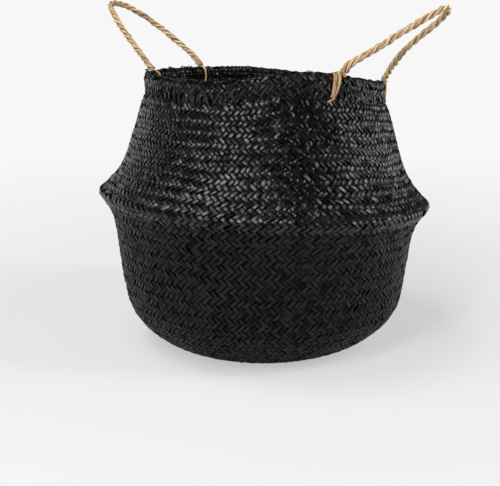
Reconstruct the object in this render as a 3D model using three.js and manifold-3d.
// A plaited straw planter basket with a folded waist, a turned-down rim hem and two rope handles.
// Lengths are millimetres and angles are degrees. +Z is up and the origin is the middle of the flat
// underside. The handles stand at +X and -X.

import * as THREE from 'three';
import { mergeVertices } from 'three/addons/utils/BufferGeometryUtils.js';
import Module from 'manifold-3d';

const wasm = await Module();
wasm.setup();

// Driving dimensions of the plaited body
const baseRadius = 105;
const waistRadius = 190;
const waistHeight = 168;
const shoulderRadius = 137.3;
const rimRadius = 135.8;
const rimHeight = 306.6;
const strawThickness = 4;
const hemThickness = 3;
const hemHeight = 24;
const hemCornerRadius = 1.5;
const foldHalfHeight = 10;
const foldThickness = 7;
const footHeight = 48;
const pieceGap = 0.3;

// The body has settled: its waist and its rim each lean down towards one side, one stretch of the rim
// stands up and another sags, and the neck has swayed a little to the side.
const waistLean = 3.35;
const waistLeanAzimuth = 73;
const rimLean = 0.77;
const rimLeanAzimuth = 36;
const rimRise = 11;
const riseAzimuth = -38.5;
const riseHalfWidth = 45;
const rimSag = 12;
const sagAzimuth = 64;
const sagHalfWidth = 80;
const neckSway = 2;
const swayAzimuth = 33.5;
const leanStartShare = 0.35;

// Driving dimensions of the rope handles
const ropeDiameter = 7.6;
const eyeRopeDiameter = 6.8;
const eyeSlack = 0.5;
const eyeDrop = 22;
const leftEyeSpacing = 94;
const leftReach = 129.5;
const leftLean = 53;
const rightEyeSpacing = 98;
const rightReach = 115.5;
const rightLean = 49.5;

// Facets round the axis and round a rope, and steps up each wall
const roundSteps = 48;
const ropeSides = 10;
const eyeSteps = 16;
const footSteps = 7;
const bowlSteps = 6;
const foldSteps = 5;
const skirtSteps = 6;
const collarSteps = 5;
const handleSteps = 60;
const outlineSamples = 240;

// The bowl's outline from the base to the waist: shares of the waist's height, and shares of the way
// out from the base's edge to the waist's edge.
const bowlShares = [
  [0, 0], [0.018, 0.106], [0.06, 0.261], [0.105, 0.38], [0.16, 0.492], [0.235, 0.592], [0.32, 0.658],
  [0.55, 0.729], [0.78, 0.787], [0.9, 0.873], [1, 1],
];
// The neck's outline from the waist to the hem: shares of the way up to the hem's lower edge, and
// shares of the way out from the shoulder to the waist's edge.
const neckShares = [
  [0.085, 0.822], [0.195, 0.63], [0.341, 0.464], [0.548, 0.295], [0.728, 0.172], [0.851, 0.097],
  [0.923, 0.052], [0.977, 0],
];
// Each handle's loop: shares of half the eyes' spacing along the rim, and shares of the reach.
const leftLoopShares = [
  [-1.09, 0.16], [-1.13, 0.23], [-1.11, 0.303], [-1.065, 0.387], [-1.02, 0.47], [-0.97, 0.555],
  [-0.91, 0.635], [-0.84, 0.715], [-0.76, 0.79], [-0.655, 0.86], [-0.51, 0.928], [-0.33, 0.976], [-0.11, 1],
  [0.08, 0.993], [0.21, 0.952], [0.315, 0.89], [0.41, 0.815], [0.495, 0.737], [0.57, 0.657],
  [0.635, 0.577], [0.69, 0.494], [0.74, 0.413], [0.79, 0.33], [0.845, 0.248], [0.91, 0.166],
];
const rightLoopShares = [
  [-1.1, 0.17], [-1.05, 0.245], [-0.95, 0.325], [-0.84, 0.405], [-0.75, 0.49], [-0.685, 0.578],
  [-0.6, 0.66], [-0.49, 0.745], [-0.385, 0.83], [-0.275, 0.908], [-0.165, 0.965], [-0.03, 1],
  [0.1, 0.985], [0.19, 0.93], [0.235, 0.85], [0.235, 0.755], [0.21, 0.655], [0.21, 0.56],
  [0.25, 0.475], [0.325, 0.39], [0.42, 0.31], [0.53, 0.243], [0.66, 0.188], [0.84, 0.152],
];
// How much of the neck, from the fold up to the hem, gives way when the neck is pushed down
const skirtShare = 0.55;
// Where the foot's inner face leaves the base mat, as a share of the foot's height
const innerFootStartShare = 0.25;
// How far a rope runs straight out of its eye, as a share of the way to the loop's first bend
const straightRunShare = 0.33;

const hemBottom = rimHeight - hemHeight;
const foldBottom = waistHeight - foldHalfHeight;
const foldTop = waistHeight + foldHalfHeight;
const collarBottom = foldTop + skirtShare * (hemBottom - foldTop);
const hemInnerRadius = rimRadius - hemThickness;
const collarTopRadius = hemInnerRadius - pieceGap;
const mouthRadius = collarTopRadius - strawThickness;
const collarTop = rimHeight - hemThickness / 2 - pieceGap;
const rimMiddleRadius = (rimRadius + mouthRadius) / 2;

const eyeLoopRadius = (rimRadius - mouthRadius) / 2 + eyeSlack + eyeRopeDiameter / 2;
const eyeTopDrop = hemCornerRadius;
const leftEyeAngle = Math.asin(leftEyeSpacing / 2 / rimMiddleRadius);
const rightEyeAngle = Math.asin(rightEyeSpacing / 2 / rimMiddleRadius);
const ropeStart = eyeLoopRadius + eyeRopeDiameter / 2 + pieceGap;

const radians = THREE.MathUtils.degToRad;
const up = new THREE.Vector3(0, 0, 1);

const shadedStraw = new THREE.MeshStandardMaterial({ color: 0x1c1a19, roughness: 0.72, metalness: 0 });
const glossyStraw = new THREE.MeshStandardMaterial({ color: 0x1b1919, roughness: 0.42, metalness: 0 });
const naturalRope = new THREE.MeshStandardMaterial({ color: 0xc6a36d, roughness: 0.68, metalness: 0 });

// Outline of the body: the outer radius at any height below the hem
const bodyOutline = new THREE.SplineCurve([
  ...bowlShares.map(([rise, swell]) => new THREE.Vector2(
    baseRadius + swell * (waistRadius - baseRadius),
    rise * waistHeight,
  )),
  ...neckShares.map(([rise, swell]) => new THREE.Vector2(
    shoulderRadius + swell * (waistRadius - shoulderRadius),
    waistHeight + rise * (hemBottom - waistHeight),
  )),
]).getPoints(outlineSamples);

function outlineAt(height) {
  const last = bodyOutline.length - 1;
  let above = bodyOutline.findIndex((point, index) => index > 0 && point.y >= height);
  if (above < 0) above = last;
  const low = bodyOutline[above - 1];
  const high = bodyOutline[above];
  const slope = (high.x - low.x) / (high.y - low.y);
  return { radius: low.x + slope * (height - low.y), slope };
}

// The inside radius that keeps the wall's thickness square to its slope
function innerRadiusAt(height, thickness) {
  const { radius, slope } = outlineAt(height);
  return radius - thickness * Math.hypot(1, slope);
}

function heightsBetween(low, high, steps) {
  return Array.from({ length: steps + 1 }, (_, i) => low + (high - low) * (i / steps));
}

// Where the settled body carries a point
function settledPlace(x, y, height) {
  const toWaist = THREE.MathUtils.smoothstep(height, leanStartShare * waistHeight, waistHeight);
  const toRim = THREE.MathUtils.clamp((height - waistHeight) / (rimHeight - waistHeight), 0, 1);
  const sway = neckSway * THREE.MathUtils.smoothstep(height, leanStartShare * waistHeight, collarBottom);
  const fall = (lean, azimuth) => Math.tan(radians(lean))
    * (x * Math.cos(radians(azimuth)) + y * Math.sin(radians(azimuth)));
  const waistFall = toWaist * (1 - toRim) * fall(waistLean, waistLeanAzimuth);
  const rimFall = toRim * fall(rimLean, rimLeanAzimuth);
  const lobe = (azimuth, halfWidth) => {
    const ahead = THREE.MathUtils.radToDeg(Math.atan2(y, x)) - azimuth + 180;
    const turn = THREE.MathUtils.euclideanModulo(ahead, 360) - 180;
    return Math.abs(turn) < halfWidth ? (1 + Math.cos(Math.PI * turn / halfWidth)) / 2 : 0;
  };
  const wave = rimRise * lobe(riseAzimuth, riseHalfWidth) - rimSag * lobe(sagAzimuth, sagHalfWidth);
  return new THREE.Vector3(
    x + sway * Math.cos(radians(swayAzimuth)),
    y + sway * Math.sin(radians(swayAzimuth)),
    height + toRim * wave - waistFall - rimFall,
  );
}

function settle(geometry) {
  const place = geometry.attributes.position;
  for (let i = 0; i < place.count; i += 1) {
    place.setXYZ(i, ...settledPlace(place.getX(i), place.getY(i), place.getZ(i)).toArray());
  }
  return geometry;
}

// One closed ring turned round +Z from its section
function turnedRing(section) {
  const closed = [...section, section[0]].map(([radius, height]) => new THREE.Vector2(radius, height));
  const geometry = new THREE.LatheGeometry(closed, roundSteps);
  geometry.rotateX(Math.PI / 2);
  return geometry;
}

// Vertices that share a place become one, and the faces are turned to point out.
function closedBody(source) {
  const bare = source.clone();
  bare.deleteAttribute('normal');
  bare.deleteAttribute('uv');
  const geometry = mergeVertices(bare);
  const place = geometry.attributes.position;
  const index = geometry.index.array;
  const corners = [new THREE.Vector3(), new THREE.Vector3(), new THREE.Vector3()];
  const kept = [];
  let volume = 0;
  for (let i = 0; i < index.length; i += 3) {
    const [a, b, c] = [index[i], index[i + 1], index[i + 2]];
    if (a === b || b === c || c === a) continue;
    kept.push(a, b, c);
    corners.forEach((corner, k) => corner.fromBufferAttribute(place, index[i + k]));
    volume += corners[0].dot(corners[1].clone().cross(corners[2]));
  }
  if (volume < 0) {
    for (let i = 0; i < kept.length; i += 3) [kept[i], kept[i + 1]] = [kept[i + 1], kept[i]];
  }
  geometry.setIndex(kept);
  return geometry;
}

function toSolid(geometry) {
  const body = closedBody(geometry);
  return new wasm.Manifold(new wasm.Mesh({
    numProp: 3,
    vertProperties: new Float32Array(body.attributes.position.array),
    triVerts: new Uint32Array(body.index.array),
  }));
}

function fromSolid(solid) {
  const mesh = solid.getMesh();
  const geometry = new THREE.BufferGeometry();
  geometry.setAttribute('position', new THREE.BufferAttribute(new Float32Array(mesh.vertProperties), 3));
  geometry.setIndex(new THREE.BufferAttribute(new Uint32Array(mesh.triVerts), 1));
  return geometry;
}

function named(name, geometry, material) {
  geometry.computeVertexNormals();
  const mesh = new THREE.Mesh(geometry, material);
  mesh.name = name;
  return mesh;
}

// Plaited mat that the basket stands on
function baseMat() {
  const radius = baseRadius - pieceGap;
  const section = [
    new THREE.Vector2(0, 0),
    new THREE.Vector2(radius, 0),
    new THREE.Vector2(radius, strawThickness),
    new THREE.Vector2(0, strawThickness),
  ];
  const geometry = new THREE.LatheGeometry(section, roundSteps);
  geometry.rotateX(Math.PI / 2);
  return named('base_mat', closedBody(geometry), shadedStraw);
}

// Rounded lower part of the bowl, where the plait turns up from the base
function bowlFoot() {
  const heights = heightsBetween(0, footHeight - pieceGap, footSteps);
  const outside = heights.map((height) => [outlineAt(height).radius, height]);
  const inside = heights
    .filter((height) => height > innerFootStartShare * footHeight)
    .map((height) => [innerRadiusAt(height, strawThickness), height])
    .reverse();
  const section = [...outside, ...inside, [baseRadius, strawThickness]];
  return named('bowl_foot', closedBody(settle(turnedRing(section))), shadedStraw);
}

// A wall of even thickness that follows the body's outline between two heights
function outlineWall(low, high, steps) {
  const heights = heightsBetween(low, high, steps);
  const outside = heights.map((height) => [outlineAt(height).radius, height]);
  const inside = heights.map((height) => [innerRadiusAt(height, strawThickness), height]).reverse();
  return closedBody(settle(turnedRing([...outside, ...inside])));
}

// Wall of the bowl, from the foot to the underside of the waist fold
function bowlWall() {
  return named('bowl_wall', outlineWall(footHeight, foldBottom - pieceGap, bowlSteps), shadedStraw);
}

// Doubled fold that stands out round the waist
function waistFold() {
  const heights = heightsBetween(foldBottom, foldTop, foldSteps);
  const outside = heights.map((height) => [outlineAt(height).radius, height]);
  const insideRadius = Math.min(
    innerRadiusAt(foldBottom, strawThickness),
    innerRadiusAt(foldTop, strawThickness),
  );
  const innerTip = Math.max(insideRadius, waistRadius - foldThickness);
  const inside = [
    [innerRadiusAt(foldTop, strawThickness), foldTop],
    [innerTip, waistHeight],
    [innerRadiusAt(foldBottom, strawThickness), foldBottom],
  ];
  return named('waist_fold', closedBody(settle(turnedRing([...outside, ...inside]))), glossyStraw);
}

// Sloping wall above the fold, which gives way when the neck is pushed down into the bowl
function foldSkirt() {
  const wall = outlineWall(foldTop + pieceGap, collarBottom - pieceGap, skirtSteps);
  return named('fold_skirt', wall, glossyStraw);
}

// The rope loop that ties a handle to the rim: a racetrack ring standing in a plane through the axis.
// Its own origin is the middle of its upper bend, which is where the handle turns.
function eyeLoop(ropeRadius) {
  const straight = eyeDrop - eyeLoopRadius - eyeTopDrop;
  const geometry = new THREE.TorusGeometry(eyeLoopRadius, ropeRadius, ropeSides, eyeSteps);
  geometry.rotateZ(Math.PI / eyeSteps);
  const place = geometry.attributes.position;
  for (let i = 0; i < place.count; i += 1) {
    const segment = (i % (eyeSteps + 1)) % eyeSteps;
    if (segment >= eyeSteps / 2) place.setY(i, place.getY(i) - straight);
  }
  geometry.rotateX(Math.PI / 2);
  return closedBody(geometry);
}

function eyePlace(angle) {
  const place = settledPlace(
    rimMiddleRadius * Math.cos(angle),
    rimMiddleRadius * Math.sin(angle),
    rimHeight,
  );
  place.z -= eyeTopDrop;
  return place;
}

const eyes = [
  { name: 'eye_right_front', angle: -rightEyeAngle },
  { name: 'eye_right_back', angle: rightEyeAngle },
  { name: 'eye_left_front', angle: Math.PI + leftEyeAngle },
  { name: 'eye_left_back', angle: Math.PI - leftEyeAngle },
];

function eyeMesh({ name, angle }) {
  const mesh = named(name, eyeLoop(eyeRopeDiameter / 2), naturalRope);
  mesh.position.copy(eyePlace(angle));
  mesh.rotation.z = angle;
  return mesh;
}

// Leaves the rope loops their way through a wall
function withEyeHoles(geometry) {
  let solid = toSolid(geometry);
  for (const { angle } of eyes) {
    const hole = eyeLoop(eyeRopeDiameter / 2 + pieceGap);
    hole.rotateZ(angle);
    hole.translate(...eyePlace(angle).toArray());
    solid = solid.subtract(toSolid(hole));
  }
  return fromSolid(solid);
}

// Upper wall, which tucks in behind the hem
function collarWall() {
  const shoulderHeight = waistHeight + neckShares.at(-1)[0] * (hemBottom - waistHeight);
  const heights = heightsBetween(collarBottom, shoulderHeight, collarSteps);
  const outside = heights.map((height) => [outlineAt(height).radius, height]);
  const inside = heights
    .slice(0, -1)
    .map((height) => [innerRadiusAt(height, strawThickness), height])
    .reverse();
  const tuck = [
    [collarTopRadius, hemBottom - pieceGap],
    [collarTopRadius, collarTop],
    [mouthRadius, collarTop],
    [mouthRadius, hemBottom - pieceGap],
  ];
  const ring = settle(turnedRing([...outside, ...tuck, ...inside]));
  return named('collar_wall', withEyeHoles(ring), glossyStraw);
}

// Band of straw ends turned down over the rim
function rimHem() {
  const section = [
    [hemInnerRadius, hemBottom],
    [rimRadius, hemBottom],
    [rimRadius, rimHeight - hemCornerRadius],
    [rimRadius - hemCornerRadius, rimHeight],
    [mouthRadius + hemCornerRadius / 2, rimHeight],
    [mouthRadius, rimHeight - hemCornerRadius / 2],
    [mouthRadius, collarTop + pieceGap],
    [hemInnerRadius, collarTop + pieceGap],
  ];
  return named('rim_hem', withEyeHoles(settle(turnedRing(section))), glossyStraw);
}

// A handle is one bent rope between two eyes. Its own origin is the middle of the line through the
// eyes' upper bends, its Y runs along that line and its Z along the loop's reach.
function handleMesh({ name, firstAngle, secondAngle, loopShares, reach, lean }) {
  const first = eyePlace(firstAngle);
  const second = eyePlace(secondAngle);
  const along = second.clone().sub(first).normalize();
  const half = first.distanceTo(second) / 2;
  const bendStart = reach * loopShares[0][1];
  const straightEnd = ropeStart + straightRunShare * (bendStart - ropeStart);
  const inLoop = (across, away) => new THREE.Vector3(0, across, away);
  const bend = loopShares.map(([across, away]) => inLoop(across * half, away * reach));
  const route = new THREE.CatmullRomCurve3([
    inLoop(-half, ropeStart),
    inLoop(-half, straightEnd),
    ...bend,
    inLoop(half, straightEnd),
    inLoop(half, ropeStart),
  ], false, 'centripetal');
  const section = new THREE.Shape(Array.from({ length: ropeSides }, (_, i) => new THREE.Vector2(
    ropeDiameter / 2 * Math.cos(2 * Math.PI * i / ropeSides),
    ropeDiameter / 2 * Math.sin(2 * Math.PI * i / ropeSides),
  )));
  const rope = new THREE.ExtrudeGeometry(section, {
    steps: handleSteps,
    extrudePath: route,
    curveSegments: 1,
  });
  const mesh = named(name, closedBody(rope), naturalRope);
  mesh.position.copy(first).add(second).divideScalar(2);
  const outward = along.clone().cross(up).normalize();
  const upright = outward.clone().cross(along);
  const reachWay = upright.multiplyScalar(Math.cos(radians(lean)))
    .addScaledVector(outward, Math.sin(radians(lean)));
  const side = along.clone().cross(reachWay);
  mesh.quaternion.setFromRotationMatrix(new THREE.Matrix4().makeBasis(side, along, reachWay));
  return mesh;
}

const belly = new THREE.Group();
belly.add(baseMat(), bowlFoot(), bowlWall(), waistFold());

const collar = new THREE.Group();
collar.add(collarWall(), rimHem(), ...eyes.map(eyeMesh));

const basket = new THREE.Group();
basket.add(
  belly,
  foldSkirt(),
  collar,
  handleMesh({
    name: 'handle_right',
    firstAngle: -rightEyeAngle,
    secondAngle: rightEyeAngle,
    loopShares: rightLoopShares,
    reach: rightReach,
    lean: rightLean,
  }),
  handleMesh({
    name: 'handle_left',
    firstAngle: Math.PI - leftEyeAngle,
    secondAngle: Math.PI + leftEyeAngle,
    loopShares: leftLoopShares,
    reach: leftReach,
    lean: leftLean,
  }),
);

export default basket;
